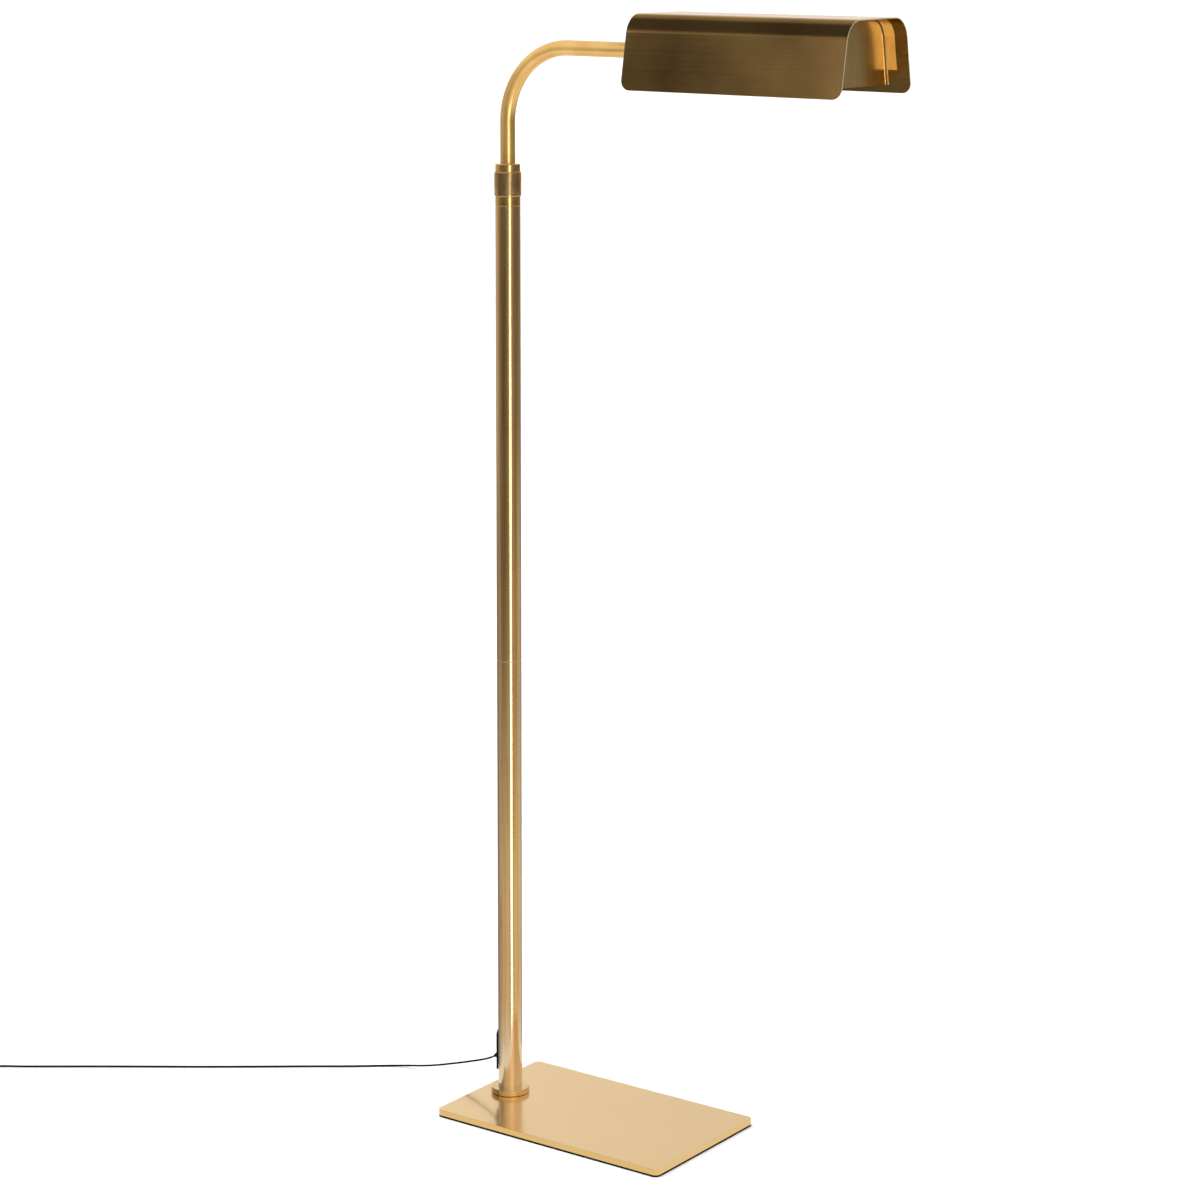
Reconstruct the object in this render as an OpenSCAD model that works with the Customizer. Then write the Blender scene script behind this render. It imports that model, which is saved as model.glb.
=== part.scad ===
// Floor lamp: a telescoping swing arm on a two-piece pole, with a folded sheet shade that tilts on the arm.
// Millimetres. The origin is on the pole's axis at floor level, +X along the arm, +Z up.

/* [Base] */
// Length of the base plate, along the arm
plate_l = 276; // [220:1:360]
// Width of the base plate
plate_w = 172.5; // [140:0.5:240]
// Thickness of the base plate
plate_t = 6; // [5:0.5:12]
// Plan radius of the plate's corners
plate_corner_r = 6; // [3:0.5:20]
// Rounding of the plate's top edge
plate_edge_r = 1.2; // [0.5:0.1:2]
// From the pole's axis to the nearer short edge of the plate
pole_to_edge = 29.5; // [26:0.5:60]
// Thickness of the pad under the plate
pad_t = 2; // [1:0.5:4]
// How far the pad stays back from the plate's edge
pad_inset = 1; // [0.5:0.5:10]
// How far the foot flange stands out from the pole
flange_lip = 7.5; // [4:0.5:12]
// Height of the foot flange
flange_h = 6; // [3:0.5:15]
// Shank diameter of the hold-down bolt
bolt_d = 10; // [6:1:12]
// Length of the plug in the foot of the pole
foot_plug_l = 22; // [16:1:40]

/* [Pole] */
// Outside diameter of the pole
pole_d = 25; // [22:0.5:32]
// Wall of the pole
pole_wall = 1.2; // [0.8:0.1:2]
// Length of the lower pole tube
lower_l = 462.5; // [400:0.5:600]
// Length of the upper pole tube
upper_l = 462.5; // [420:0.5:600]
// Length of the sleeve that joins the two tubes
coupler_l = 44; // [30:1:60]
// Bore of the joining sleeve
coupler_bore = 16; // [10:1:18]

/* [Lock collar] */
// Height of the plain band under the lock ring
band_h = 9.2; // [4:0.1:20]
// Depth of the ferrule's spigot in the pole
spigot_l = 24; // [14:1:40]
// Height of the threaded neck inside the lock ring
neck_h = 14; // [10:0.5:17]
// Wall of the threaded neck
neck_wall = 1.3; // [1:0.1:1.6]
// Wall of the split collet
collet_wall = 1.5; // [1:0.1:1.8]
// How far the collet stands above the neck
collet_rise = 6; // [4:0.5:7]
// How far the lock ring stands out from the pole
ring_proud = 1; // [0.5:0.1:4]
// Height of the lock ring
ring_h = 24; // [23:0.5:34]
// Number of grip ribs round the lock ring
ring_ribs = 84; // [40:2:120]
// Depth of the grip ribs
rib_depth = 0.4; // [0.2:0.05:0.8]
// Height of the plain land at each end of the grip
rib_land = 0.9; // [0.5:0.1:3]
// Height of the cap on the lock ring
cap_h = 7.8; // [4:0.1:15]

/* [Arm] */
// Outside diameter of the arm tube
arm_d = 15; // [12:0.5:16]
// Wall of the arm tube
arm_wall = 1.2; // [0.8:0.1:1.6]
// Height of the arm's level stretch above the lock cap, to its axis
arm_z = 115.42; // [100:0.01:280]
// Bend radius of the arm, to its axis
bend_r = 74; // [50:1:74]
// How far the arm can be raised
lift_up = 320; // [200:5:340]
// Length of the bush that guides the arm in the pole
bush_l = 25; // [15:1:40]

/* [Shade] */
// From the pole's axis to the near end of the shade
shade_x = 180; // [170:1:260]
// Length of the shade
shade_l = 242; // [180:1:320]
// Width of the shade across its open side
shade_w = 124.5; // [110:0.5:160]
// Height of the shade
shade_h = 70.5; // [62:0.5:90]
// Outside radius of the two long folds
fold_r = 22; // [16:0.5:24]
// Slope of the sides from upright, in degrees
side_slope = 10; // [2:0.5:16]
// Sheet thickness of the shade
sheet_t = 1; // [0.8:0.1:2]
// Rounding of the sides' lower corners
skirt_corner_r = 10; // [2:0.5:20]
// From the top of the shade down to the arm's axis
arm_drop = 36.7; // [32:0.1:42]
// How deep the end plates sit in the shade
recess = 24.5; // [14:0.5:40]
// Thickness of the end plates
end_t = 1.2; // [0.8:0.1:2]
// Length of the flange that turns out from an end plate
end_flange = 13; // [6:0.5:18]
// How far the flange's lower ends stop above the end plate's lower edge
flange_lift = 14; // [2:0.5:25]
// Outside radius of the bend into that flange
end_bend_r = 3; // [2:0.5:6]
// How far the end plates stop above the shade's rim
end_lift = 7.5; // [3:0.5:20]

/* [Swivel] */
// Diameter of the hollow swivel neck
swivel_d = 10; // [8:0.5:12]
// Thickness of each friction washer
washer_t = 1; // [0.5:0.1:2]
// Thickness of the swivel nut
nut_t = 5; // [3:0.5:8]
// Width of the swivel nut across its flats
nut_af = 15; // [14:0.5:18]
// Length of the shoulder against the outer washer
shoulder_t = 3; // [2:0.5:6]

/* [Light] */
// Width of the light channel
channel_w = 24; // [16:0.5:40]
// Height of the light channel
channel_h = 9; // [8:0.5:11]
// Wall of the light channel
channel_wall = 1.6; // [1:0.1:2]
// From the end of the swivel neck to the light channel, where its lead goes up
lead_room = 13; // [12:0.5:20]
// Gap from the light channel to the far end plate
channel_end_gap = 8; // [4:0.5:12]
// Thickness of the bonding tape
tape_t = 0.5; // [0.3:0.1:1]
// Thickness of the light board
board_t = 1.2; // [0.8:0.1:2]
// Number of light chips
chip_count = 16; // [8:1:20]
// Thickness of the opal cover
cover_t = 1.5; // [1:0.1:2]

/* [Cord and switch] */
// Diameter of the cord
cord_d = 2; // [1.6:0.1:2.4]
// Length of the in-line switch
switch_l = 54; // [46:1:64]
// Width of the in-line switch
switch_w = 21; // [17:0.5:24]
// Height of the in-line switch's base
switch_base_h = 6; // [6:0.5:8]
// Height of the in-line switch's cover
switch_cover_h = 7; // [6:0.5:10]
// Diameter of the push button
button_d = 12; // [8:0.5:14]
// How far the button stands out of the cover
button_proud = 2.2; // [2:0.1:4]
// Travel of the button
button_travel = 1.8; // [1:0.1:2]
// Length of the plug-in adapter's case
adapter_l = 48; // [40:1:70]
// Width of the adapter's case
adapter_w = 34; // [28:0.5:40]
// Height of the adapter's case
adapter_h = 26; // [22:0.5:32]
// Length of the adapter's pins
pin_l = 19; // [15:0.5:20]
// Diameter of the adapter's pins
pin_d = 4; // [3:0.5:6]
// Distance between the adapter's pins
pin_pitch = 19; // [10:0.5:20]

/* [Hidden] */
$fn = 64;

// Clearances: a fixed seat, a running fit and a free gap
seat_gap = 0.05;
run_gap = 0.08;
free_gap = 0.3;
// Small chamfer on turned and cut edges
ease = 0.4;
// How far a cutting solid runs past the piece that it cuts
over = 1;

brass = "#b48e4a";
brass_plate = "#cdb07a";
brass_dark = "#6b5732";
steel = "silver";
black = "#1c1c1c";
nylon = "#e8e4d8";
alloy = "#c4c6c8";

pole_r = pole_d / 2;
bore_r = pole_r - pole_wall;
arm_r = arm_d / 2;
lead_r = 1.4;

// Heights up the pole
plate_top = pad_t + plate_t;
pad_corner_r = max(plate_corner_r - pad_inset, 1);
joint_z = plate_top + lower_l;
pole_top = joint_z + upper_l;
ring_z = pole_top + band_h + run_gap;
cap_z = ring_z + ring_h;
arm_axis_z = cap_z + cap_h + arm_z;

// Hold-down bolt, seated from below in the plate
bolt_head_r = bolt_d * 0.9;
bolt_head_h = 2.2;
bolt_washer_t = 1;
counterbore_h = bolt_head_h + bolt_washer_t + free_gap;
bolt_top = plate_top + foot_plug_l - 4;

// Lock collar, from the arm outwards
collet_bore_r = arm_r + run_gap;
collet_r = collet_bore_r + collet_wall;
neck_r = collet_r + seat_gap + neck_wall;
collet_floor = 1.5;
collet_taper = 0.9;
ring_r = pole_r + ring_proud;
cap_spigot_r = (arm_r + ring_r) / 2;
cap_spigot_h = 1.8;

// Arm: at its highest the clip over the bush stops just under the ferrule
bend_z = arm_axis_z - bend_r;
clip_t = 1;
lift_stop_gap = 1;
clip_z = pole_top - spigot_l - lift_stop_gap - lift_up - clip_t;
bush_z = clip_z - free_gap - bush_l;
leg_z = bush_z - free_gap;
stop_flange_t = 2.5;
stop_flange_r = arm_r + 2;
clip_depth = 0.4;
clip_w = 1.3;

// Shade, in a frame whose x is across, y is up from the arm's axis and z runs along the arm
fold_y = arm_drop - fold_r;
rim_y = arm_drop - shade_h;
side_l = (fold_y + fold_r * sin(side_slope) - rim_y) / cos(side_slope);
fold_x = shade_w / 2 - fold_r * cos(side_slope) - side_l * sin(side_slope);
inner_plate_x = shade_x + recess;
outer_plate_x = shade_x + shade_l - recess;
fold_steps = 20;
// How far an outline's flat sides lie inside its round folds, so that the folds stay whole
fold_ease = 0.01;
end_bend_steps = 5;

// Swivel, measured along the arm from the near face of the inner end plate
swivel_r = swivel_d / 2;
shoulder_r = arm_r + 1.2;
washer_r = shoulder_r + 1;
arm_end_x = inner_plate_x - run_gap - washer_t - shoulder_t;
inner_face_x = inner_plate_x + end_t;
spring_x = inner_face_x + run_gap + washer_t;
spring_h = 1.5;
spring_t = 0.5;
nut_x = spring_x + spring_h;
swivel_end_x = nut_x + nut_t + 2;
spigot_in_l = 14;
spigot_bore_r = lead_r + free_gap;

// Light
top_in = arm_drop - sheet_t;
channel_top = top_in - tape_t;
channel_rim = channel_top - channel_h;
channel_x = swivel_end_x + lead_room;
channel_l = outer_plate_x - end_t - channel_end_gap - channel_x;
channel_in_w = channel_w - 2 * channel_wall;
board_w = channel_in_w - 2 * free_gap;
board_top = channel_top - channel_wall;
chip_l = 3.5;
chip_w = 2.8;
chip_t = 0.7;
lip = 0.8;
head_lead_r = 1;

// Cord gland on the back of the pole
gland_low = 31;
gland_high = 73;
gland_w = 14;
gland_t = 2.1;
gland_spread = 45;
spout_z = 45.5;
spout_fall = 32;
spout_l = 7;
spout_r = 3.4;
spout_wall = 0.6;
gland_neck_r = 4.2;
gland_neck_in = 2.5;
spout_dir = [-cos(spout_fall), 0, -sin(spout_fall)];
spout_base = [-(pole_r + gland_t - 0.6), 0, spout_z];
spout_tip = spout_base + spout_l * spout_dir;

// Cord, switch and adapter lie on the floor on lines at 45 degrees to the arm
cord_r = cord_d / 2;
along = [sqrt(0.5), -sqrt(0.5), 0];
across = [-sqrt(0.5), -sqrt(0.5), 0];
up = [0, 0, 1];
floor_gap = 0.1;
switch_corner_r = 6;
switch_edge_r = 2;
switch_start = [-498, -295, 5];
switch_end = switch_start + switch_l * along;
switch_mid = (switch_start + switch_end) / 2;
cover_z = floor_gap + switch_base_h;
button_z = cover_z + switch_cover_h + button_proud;
button_depth = 5;
button_flange_w = 1.2;
button_flange_t = 1;
button_low = button_z - button_depth;
stem_r = 2;
module_l = 14;
module_w = 12;
module_floor = 1.5;

// Tie round the coil's bundle
tie_w = 5;
tie_t = 0.5;
tie_gap = 0.35;
tie_turn = -45;

// Coil: its layers wind in and out, and each climb takes half a turn
coil_layers = 4;
layer_turns = 3;
climb_turns = 0.5;
turn_pitch = cord_d + 0.75;
layer_pitch = cord_d + 0.7;
coil_mean_r = 6 * cord_d;
coil_out_r = coil_mean_r + layer_turns * turn_pitch / 2;
coil_in_r = coil_mean_r - layer_turns * turn_pitch / 2;
coil_z = floor_gap + tie_t + tie_gap + cord_r;
coil_steps = 24;
coil_sides = 6;
link_l = 14;
link_end = switch_end + link_l * along;
coil_start = [link_end[0], link_end[1], coil_z];
coil_centre = coil_start + coil_out_r * across;
stage_turns = layer_turns + climb_turns;
coil_turns = coil_layers * stage_turns - climb_turns;
coil_top = coil_z + (coil_layers - 1) * layer_pitch;
coil_finish = coil_start + 2 * coil_out_r * across + (coil_top - coil_z) * up;

adapter_corner_r = 5;
adapter_edge_r = 2;
adapter_z = floor_gap + adapter_h / 2;
tail_l = 22;
boot_l = 10;
boot_r = 3;
// The case keeps this far from the switch beside it
case_gap = 4;
case_shift = max(switch_w / 2 + adapter_w / 2 + case_gap - 2 * coil_out_r, 0);
boot_start = [coil_finish[0], coil_finish[1], adapter_z] - tail_l * along + case_shift * across;
case_start = boot_start - boot_l * along;

// Cord route from the gland's spout to the in-line switch, without its straight ends
lead_points = concat(
    [spout_tip + cord_d * spout_dir],
    [
        [-28, 0, 37.4], [-39, 0, 33], [-52, 0, 28.5], [-66, 0, 23.8], [-80, 1, 19.2], [-94, 2, 14.6],
        [-108, 3, 10.4], [-122, 4, 6.6], [-136, 4, 3.6], [-150, 0, 1.7], [-165, -10, 1.2], [-190, -30, 1.2],
        [-233, -62, 1.2], [-275, -94, 1.2], [-318, -126, 1.2], [-361, -157, 1.2], [-400, -185, 1.2],
        [-445, -218, 1.2], [-475, -240, 1.2], [-490, -250, 1.2], [-499, -257, 1.2], [-506, -264, 1.4],
        [-510, -272, 2], [-510, -281, 3.2], [-505, -288, 4.5]
    ],
    [switch_start - cord_d * along]
);
link_points = [
    switch_end, switch_end + cord_d * along, (switch_end + coil_start) / 2,
    coil_start - 2 * cord_d * along, coil_start - cord_d * along
];
tail_points = [
    coil_finish - cord_d * along, coil_finish - 2 * cord_d * along,
    (coil_finish + boot_start) / 2 - cord_d * along,
    boot_start + cord_d * along, boot_start
];

// Points between p1 and p2 on a smooth curve through four points
function between(p0, p1, p2, p3, t) =
    0.5 * (2 * p1 + (p2 - p0) * t + (2 * p0 - 5 * p1 + 4 * p2 - p3) * t * t
    + (3 * p1 - 3 * p2 + p3 - p0) * t * t * t);
function smooth(p, parts) = concat(
    [for (i = [0 : len(p) - 2], k = [0 : parts - 1])
        between(p[max(i - 1, 0)], p[i], p[i + 1], p[min(i + 2, len(p) - 1)], k / parts)],
    [p[len(p) - 1]]
);
function unit(v) = v / norm(v);
function heading(p, i) = unit(p[min(i + 1, len(p) - 1)] - p[max(i - 1, 0)]);

// Coil centre line: the stage that t turns are in, and the share of that stage's spiral and climb
function coil_stage(t) = min(floor(t / stage_turns), coil_layers - 1);
function coil_wound(t) = min((t - coil_stage(t) * stage_turns) / layer_turns, 1);
function coil_climbed(t) = max((t - coil_stage(t) * stage_turns - layer_turns) / climb_turns, 0);
function coil_radius(t) = coil_stage(t) % 2 == 0
    ? coil_out_r - coil_wound(t) * (coil_out_r - coil_in_r)
    : coil_in_r + coil_wound(t) * (coil_out_r - coil_in_r);
function coil_height(t) = (coil_stage(t) + coil_climbed(t)) * layer_pitch;
function coil_point(t) = coil_centre
    + coil_radius(t) * [cos(45 - 360 * t), sin(45 - 360 * t), 0] + coil_height(t) * up;
coil_path = concat(
    [coil_start - cord_d * along],
    [for (i = [0 : coil_turns * coil_steps]) coil_point(i / coil_steps)],
    [coil_finish - cord_d * along]
);

// Least gap between turns of the coil, from points more than half a turn apart
coil_gap = min([
    for (i = [0 : len(coil_path) - 1], j = [i + coil_steps / 2 : 1 : len(coil_path) - 1])
        norm(coil_path[i] - coil_path[j])
]) - cord_d;
echo(coil_gap = coil_gap);

// Folded profile of the shade, set in by a distance, from one rim at the given height over to the other
function fold_arc(r, steps) = [
    for (i = [0 : steps])
        let (a = side_slope + (90 - side_slope) * i / steps)
        [fold_x + r * cos(a), fold_y + r * sin(a)]
];
function fold_half(inset, low, steps) =
    let (arc = fold_arc(fold_r - inset, steps))
    concat([[arc[0][0] + (arc[0][1] - low) * tan(side_slope), low]], arc);
function reversed(p) = [for (i = [len(p) - 1 : -1 : 0]) p[i]];
function fold_path(inset, low, steps) =
    let (half = fold_half(inset, low, steps))
    concat(half, [for (p = reversed(half)) [-p[0], p[1]]]);

// Tube of a given radius and number of sides along a path
module swept(path, r, sides) {
    n = len(path);
    rings = [
        for (i = [0 : n - 1])
            let (t = heading(path, i), s = unit(cross(t, up)), w = cross(s, t))
            for (k = [0 : sides - 1])
                path[i] + r * (cos(360 * k / sides) * s + sin(360 * k / sides) * w)
    ];
    walls = [
        for (i = [0 : n - 2], k = [0 : sides - 1])
            let (a = i * sides + k, b = i * sides + (k + 1) % sides)
            each [[a, a + sides, b], [b, a + sides, b + sides]]
    ];
    caps = [
        for (k = [1 : sides - 2])
            each [[0, k, k + 1], [(n - 1) * sides, (n - 1) * sides + k + 1, (n - 1) * sides + k]]
    ];
    polyhedron(points = rings, faces = concat(walls, caps));
}

// Plan of a rectangle with round corners, centred
module round_rect(l, w, r) {
    square([l - 2 * r, w], center = true);
    square([l, w - 2 * r], center = true);
    for (x = [-1, 1], y = [-1, 1]) translate([x * (l / 2 - r), y * (w / 2 - r)]) circle(r);
}

// Half outline from the axis of a disc whose top edge is rounded
module eased_half(r, h, e) {
    square([r, h - e]);
    square([r - e, h]);
    translate([r - e, h - e]) circle(e);
}

// Slab with round corners and a rounded top edge, centred in plan
module eased_slab(l, w, h, r, e) {
    rotate([90, 0, 90]) linear_extrude(l - 2 * r, center = true)
        for (m = [0, 1]) mirror([m, 0]) eased_half(w / 2, h, e);
    for (m = [0, 1]) mirror([m, 0, 0]) translate([l / 2 - r, 0, 0]) {
        rotate([90, 0, 0]) linear_extrude(w - 2 * r, center = true) eased_half(r, h, e);
        for (n = [0, 1]) mirror([0, n, 0]) translate([0, w / 2 - r, 0])
            rotate_extrude(angle = 90) eased_half(r, h, e);
    }
}

// Plain ring about the Z axis
module ring(r_in, r_out, h) {
    difference() {
        cylinder(r = r_out, h = h);
        translate([0, 0, -over]) cylinder(r = r_in, h = h + 2 * over);
    }
}

// Pole tube, with its ends eased so that the joint shows as a fine line
module pole_tube(l) {
    rotate_extrude() polygon([
        [bore_r, 0], [pole_r - ease, 0], [pole_r, ease],
        [pole_r, l - ease], [pole_r - ease, l], [bore_r, l]
    ]);
}

// Round bar along the arm: up the pole's axis, round the bend and out to x_end
module arm_bar(r, z_start, x_end) {
    translate([0, 0, z_start]) cylinder(r = r, h = bend_z - z_start);
    translate([bend_r, 0, bend_z]) rotate([90, 0, 180]) rotate_extrude(angle = 90)
        translate([bend_r, 0]) circle(r);
    translate([bend_r, 0, arm_axis_z]) rotate([0, 90, 0]) cylinder(r = r, h = x_end - bend_r);
}

// Moves a piece that is drawn along Z onto the arm's level axis, from x outwards
module on_arm(x) {
    translate([x, 0, arm_axis_z]) rotate([90, 0, 90]) children();
}

// Places a piece that lies on the floor along the cord's 45 degree line
module on_floor(p) {
    translate(p) rotate([0, 0, -45]) children();
}

module base_plate() {
    color(brass_plate) difference() {
        translate([plate_l / 2 - pole_to_edge, 0, pad_t])
            eased_slab(plate_l, plate_w, plate_t, plate_corner_r, plate_edge_r);
        translate([0, 0, pad_t - over])
            cylinder(r = bolt_head_r + bolt_washer_t + free_gap, h = counterbore_h + over);
        translate([0, 0, pad_t]) cylinder(d = bolt_d + 2 * free_gap, h = plate_t + over);
    }
}

module base_pad() {
    color(black) translate([plate_l / 2 - pole_to_edge, 0, 0]) linear_extrude(pad_t)
        round_rect(plate_l - 2 * pad_inset, plate_w - 2 * pad_inset, pad_corner_r);
}

module foot_flange() {
    color(brass) translate([0, 0, plate_top]) difference() {
        rotate_extrude() eased_half(pole_r + flange_lip, flange_h, ease * 2);
        translate([0, 0, -over]) cylinder(r = pole_r + seat_gap, h = flange_h + 2 * over);
    }
}

module foot_plug() {
    color(brass) translate([0, 0, plate_top]) ring(bolt_d / 2 + seat_gap, bore_r - seat_gap, foot_plug_l);
}

module hold_down_bolt() {
    color(steel) {
        translate([0, 0, pad_t + free_gap]) difference() {
            cylinder(r = bolt_head_r, h = bolt_head_h);
            translate([0, 0, -over]) cylinder(d = bolt_d * 0.6, h = bolt_head_h / 2 + over, $fn = 6);
        }
        rotate_extrude() polygon([
            [0, pad_t + free_gap + bolt_head_h / 2], [bolt_d / 2, pad_t + free_gap + bolt_head_h / 2],
            [bolt_d / 2, bolt_top - ease], [bolt_d / 2 - ease, bolt_top], [0, bolt_top]
        ]);
    }
}

module hold_down_washer() {
    color(steel) translate([0, 0, pad_t + free_gap + bolt_head_h])
        ring(bolt_d / 2 + seat_gap, bolt_head_r + bolt_washer_t, bolt_washer_t);
}

module lower_pole() {
    color(brass) difference() {
        translate([0, 0, plate_top]) pole_tube(lower_l);
        translate([0, 0, spout_z]) rotate([0, -90, 0]) cylinder(r = gland_neck_r + seat_gap, h = pole_d);
    }
}

module pole_coupler() {
    color(brass) translate([0, 0, joint_z - coupler_l / 2])
        ring(coupler_bore / 2, bore_r - seat_gap, coupler_l);
}

module upper_pole() {
    color(brass) translate([0, 0, joint_z]) pole_tube(upper_l);
}

module top_ferrule() {
    color(brass) translate([0, 0, pole_top]) rotate_extrude() polygon([
        [arm_r + free_gap, -spigot_l], [bore_r - seat_gap, -spigot_l], [bore_r - seat_gap, 0],
        [pole_r - ease, 0], [pole_r, ease], [pole_r, band_h - ease], [pole_r - ease, band_h],
        [neck_r, band_h], [neck_r, band_h + neck_h], [collet_r + seat_gap, band_h + neck_h],
        [collet_r + seat_gap, band_h + collet_floor], [arm_r + free_gap, band_h + collet_floor]
    ]);
}

// Split collet that the lock ring's cone squeezes on to the arm
module collet() {
    slot_w = 1;
    straight_h = neck_h - collet_floor;
    tall = straight_h + collet_rise;
    color(nylon) translate([0, 0, pole_top + band_h + collet_floor]) difference() {
        rotate_extrude() polygon([
            [collet_bore_r, 0], [collet_r, 0], [collet_r, straight_h + free_gap],
            [collet_r - collet_taper, tall], [collet_bore_r, tall]
        ]);
        for (turn = [0 : 90 : 270]) rotate([0, 0, turn])
            translate([0, -slot_w / 2, collet_wall]) cube([collet_r + over, slot_w, tall]);
    }
}

// Saddle plate on the back of the pole with a short spout for the cord
module cord_gland() {
    top_r = gland_w / 2;
    color(black) {
        intersection() {
            rotate([0, 0, 180 - gland_spread]) translate([0, 0, gland_low])
                rotate_extrude(angle = 2 * gland_spread)
                    translate([pole_r + seat_gap, 0]) square([gland_t, gland_high - gland_low]);
            rotate([90, 0, -90]) linear_extrude(pole_d) {
                translate([-top_r, gland_low - over])
                    square([gland_w, gland_high - gland_low - top_r + over]);
                translate([0, gland_high - top_r]) circle(top_r);
            }
        }
        translate(spout_base) rotate([0, -90 - spout_fall, 0])
            cylinder(r1 = spout_r, r2 = cord_r + spout_wall, h = spout_l);
        translate([-(pole_r + gland_t / 2), 0, spout_z]) rotate([0, 90, 0])
            cylinder(r = gland_neck_r, h = pole_wall + gland_t / 2 + gland_neck_in);
    }
}

// Lead inside the pole, from the gland up through the joining sleeve
module pole_lead() {
    start_x = -(bore_r - gland_neck_in);
    turn_r = -start_x - lead_r;
    color(black) {
        translate([start_x, 0, spout_z]) rotate([0, 90, 0]) cylinder(r = lead_r, h = lead_r);
        translate([-turn_r, 0, spout_z + turn_r]) rotate([90, 0, 0]) rotate_extrude(angle = -90)
            translate([turn_r, 0]) circle(lead_r);
        translate([0, 0, spout_z + turn_r])
            cylinder(r = lead_r, h = joint_z + coupler_l / 2 - spout_z - turn_r);
    }
}

// Knurled ring that tightens the collet
module lock_ring() {
    cone_z = neck_h + free_gap;
    cone_top = neck_h + collet_rise + free_gap;
    recess_z = ring_h - cap_spigot_h - seat_gap;
    ribs = [
        for (i = [0 : 2 * ring_ribs - 1])
            (ring_r - (i % 2) * rib_depth) * [cos(180 * i / ring_ribs), sin(180 * i / ring_ribs)]
    ];
    color(brass_dark) translate([0, 0, ring_z]) difference() {
        union() {
            cylinder(r = ring_r - rib_depth, h = ring_h);
            translate([0, 0, rib_land]) linear_extrude(ring_h - 2 * rib_land) polygon(ribs);
        }
        rotate_extrude() polygon([
            [0, -over], [neck_r + run_gap, -over], [neck_r + run_gap, cone_z], [collet_r + free_gap, cone_z],
            [collet_r + free_gap - collet_taper, cone_top], [arm_r + free_gap, cone_top],
            [arm_r + free_gap, recess_z], [cap_spigot_r + seat_gap, recess_z],
            [cap_spigot_r + seat_gap, ring_h + over], [0, ring_h + over]
        ]);
    }
}

module lock_cap() {
    color(brass) translate([0, 0, cap_z]) difference() {
        union() {
            rotate_extrude() eased_half(pole_r, cap_h, ease);
            translate([0, 0, -cap_spigot_h]) cylinder(r = cap_spigot_r, h = cap_spigot_h + over);
        }
        translate([0, 0, -cap_spigot_h - over])
            cylinder(r = arm_r + free_gap, h = cap_spigot_h + cap_h + 2 * over);
    }
}

// Bush that guides the foot of the arm in the pole
module guide_bush() {
    color(nylon) translate([0, 0, bush_z]) ring(arm_r + run_gap, bore_r - run_gap, bush_l);
}

module arm_tube() {
    color(brass) difference() {
        arm_bar(arm_r, leg_z, arm_end_x);
        arm_bar(arm_r - arm_wall, leg_z - over, arm_end_x + over);
        translate([0, 0, clip_z - seat_gap]) ring(arm_r - clip_depth, arm_r + over, clip_t + 2 * seat_gap);
    }
}

// Turned plug in the foot of the arm, whose flange keeps the bush on
module arm_stop() {
    plug_l = 12;
    color(brass) translate([0, 0, leg_z]) difference() {
        union() {
            cylinder(r = arm_r - arm_wall - seat_gap, h = plug_l);
            translate([0, 0, -stop_flange_t]) cylinder(r = stop_flange_r, h = stop_flange_t);
        }
        translate([0, 0, -stop_flange_t - over])
            cylinder(r = spigot_bore_r, h = plug_l + stop_flange_t + 2 * over);
    }
}

// Open spring clip in the arm's groove, over the bush
module bush_clip() {
    mouth = arm_d * 0.6;
    color(steel) translate([0, 0, clip_z]) difference() {
        ring(arm_r - clip_depth + seat_gap, arm_r + clip_w, clip_t);
        translate([0, -mouth / 2, -over]) cube([arm_d, mouth, clip_t + 2 * over]);
    }
}

module arm_lead() {
    color(black) arm_bar(lead_r, leg_z - stop_flange_t, swivel_end_x);
}

// Turned end of the arm: a plug in the tube, a shoulder and the hollow neck that the shade turns on
module swivel_spigot() {
    neck_l = swivel_end_x - arm_end_x;
    color(brass) on_arm(arm_end_x) rotate_extrude() polygon([
        [spigot_bore_r, -spigot_in_l], [arm_r - arm_wall - seat_gap, -spigot_in_l],
        [arm_r - arm_wall - seat_gap, 0], [shoulder_r - ease, 0], [shoulder_r, ease],
        [shoulder_r, shoulder_t], [swivel_r, shoulder_t],
        [swivel_r, neck_l - ease], [swivel_r - ease, neck_l], [spigot_bore_r, neck_l]
    ]);
}

module swivel_washers() {
    color(nylon) for (x = [inner_plate_x - run_gap - washer_t, inner_face_x + run_gap])
        on_arm(x) ring(swivel_r + seat_gap, washer_r, washer_t);
}

// Dished spring washer that keeps the swivel stiff
module spring_washer() {
    color(steel) on_arm(spring_x) rotate_extrude() polygon([
        [swivel_r + seat_gap, spring_h - spring_t], [washer_r, 0],
        [washer_r, spring_t], [swivel_r + seat_gap, spring_h]
    ]);
}

module swivel_nut() {
    color(brass) on_arm(nut_x) difference() {
        cylinder(d = nut_af / cos(30), h = nut_t, $fn = 6);
        translate([0, 0, -over]) cylinder(r = swivel_r + seat_gap, h = nut_t + 2 * over);
    }
}

// Folded sheet of the shade, open below and at both ends
module shade_shell() {
    color(brass_dark) on_arm(shade_x) difference() {
        linear_extrude(shade_l) polygon(concat(
            fold_path(0, rim_y, fold_steps), reversed(fold_path(sheet_t, rim_y, fold_steps))
        ));
        for (m = [0, 1]) translate([0, 0, m * shade_l]) mirror([0, 0, m]) skirt_corner();
    }
}

// Cutter that rounds the lower corners of both sides at one end of the shade
module skirt_corner() {
    translate([-shade_w, rim_y, 0]) rotate([90, 0, 90]) linear_extrude(2 * shade_w) difference() {
        translate([-over - sheet_t, -over - sheet_t]) square(skirt_corner_r + over + sheet_t);
        translate([skirt_corner_r, skirt_corner_r]) circle(skirt_corner_r);
    }
}

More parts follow.
